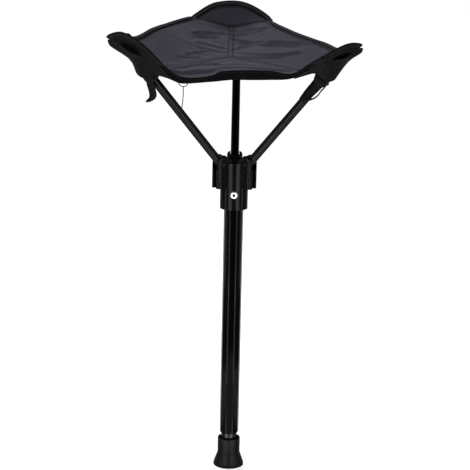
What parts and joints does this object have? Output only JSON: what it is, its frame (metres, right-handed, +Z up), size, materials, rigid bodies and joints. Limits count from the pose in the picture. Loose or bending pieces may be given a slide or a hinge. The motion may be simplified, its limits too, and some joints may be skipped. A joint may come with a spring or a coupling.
{
  "type": "collapsible telescopic stool",
  "caption": "One-legged folding stool: a telescopic leg with a rubber foot, a clevis hub, folding arms and a three-cornered sling seat of dark cloth.",
  "frame": {"origin": "middle of the rubber foot's flat underside", "axes": "+Z up along the leg, -Y towards the front of the seat, +X to the right as seen from the front"},
  "size_m": [0.3365, 0.297, 0.6686],
  "materials": {
    "rubber": "matt black rubber",
    "tube": "gloss black",
    "moulding": "satin black moulding",
    "lock_moulding": "grey moulding, hidden in the leg",
    "steel": "bright steel",
    "cloth": "dark grey woven cloth",
    "binding": "black folded tape with stitches",
    "webbing": "black hook-and-loop tape",
    "cord": "thin black cord"
  },
  "bodies": {
    "lower_leg": {"rubber_foot": "rubber", "foot_washer": "steel", "inner_tube": "tube", "tube_plug": "lock_moulding", "cam_screw": "lock_moulding"},
    "lock": {"lock_expander": "lock_moulding"},
    "upper_leg": {"outer_tube": "tube", "guide_bush": "lock_moulding", "leg_plug": "lock_moulding", "hub": "moulding", "hub_screw": "steel", "seat_ring": "steel", "keeper_cord": "cord", "cord_knot": "cord", "pivot_pin_left": "steel", "pivot_pin_right": "steel", "pivot_pin_back": "steel", "seat_wing_left": "cloth", "seat_wing_right": "cloth", "seat_wing_back": "cloth", "seat_panel_front": "cloth", "seat_panel_left": "cloth", "seat_panel_right": "cloth", "seat_hem_front": "binding", "seat_hem_left": "binding", "seat_hem_right": "binding"},
    "arm_left": {"arm_knuckle_left": "moulding", "arm_tube_left": "tube", "arm_cap_left": "moulding", "seat_pocket_left": "cloth", "strap_left": "webbing"},
    "arm_right": {"arm_knuckle_right": "moulding", "arm_tube_right": "tube", "arm_cap_right": "moulding", "seat_pocket_right": "cloth", "strap_right": "webbing"},
    "arm_back": {"arm_knuckle_back": "moulding", "arm_tube_back": "tube", "arm_cap_back": "moulding", "seat_pocket_back": "cloth", "strap_back": "webbing"}
  },
  "joints": [
    {"name": "lock_twist", "type": "hinge", "parent": "lower_leg", "child": "lock", "pos_m": [0, 0, 0.378], "axis": [0, 0, 1], "range_deg": [0, 90]},
    {"name": "leg_slide", "type": "slide", "parent": "lock", "child": "upper_leg", "axis": [0, 0, 1], "range_m": [0, 0.2]},
    {"name": "fold_left", "type": "hinge", "parent": "upper_leg", "child": "arm_left", "pos_m": [-0.01949, -0.01125, 0.452], "axis": [-0.5, 0.866, 0], "range_deg": [0, 33], "deforming": ["seat_wing_left", "seat_panel_front", "seat_hem_front"]},
    {"name": "fold_right", "type": "hinge", "parent": "upper_leg", "child": "arm_right", "pos_m": [0.01949, -0.01125, 0.452], "axis": [-0.5, -0.866, 0], "range_deg": [0, 33], "deforming": ["seat_wing_right", "seat_panel_right", "seat_hem_right"]},
    {"name": "fold_back", "type": "hinge", "parent": "upper_leg", "child": "arm_back", "pos_m": [0, 0.0225, 0.452], "axis": [1, 0, 0], "range_deg": [0, 33], "deforming": ["seat_wing_back", "seat_panel_left", "seat_hem_left"]}
  ],
  "couplings": [
    {"joint": "fold_right", "follows": "fold_left", "ratio": 1},
    {"joint": "fold_back", "follows": "fold_left", "ratio": 1}
  ]
}
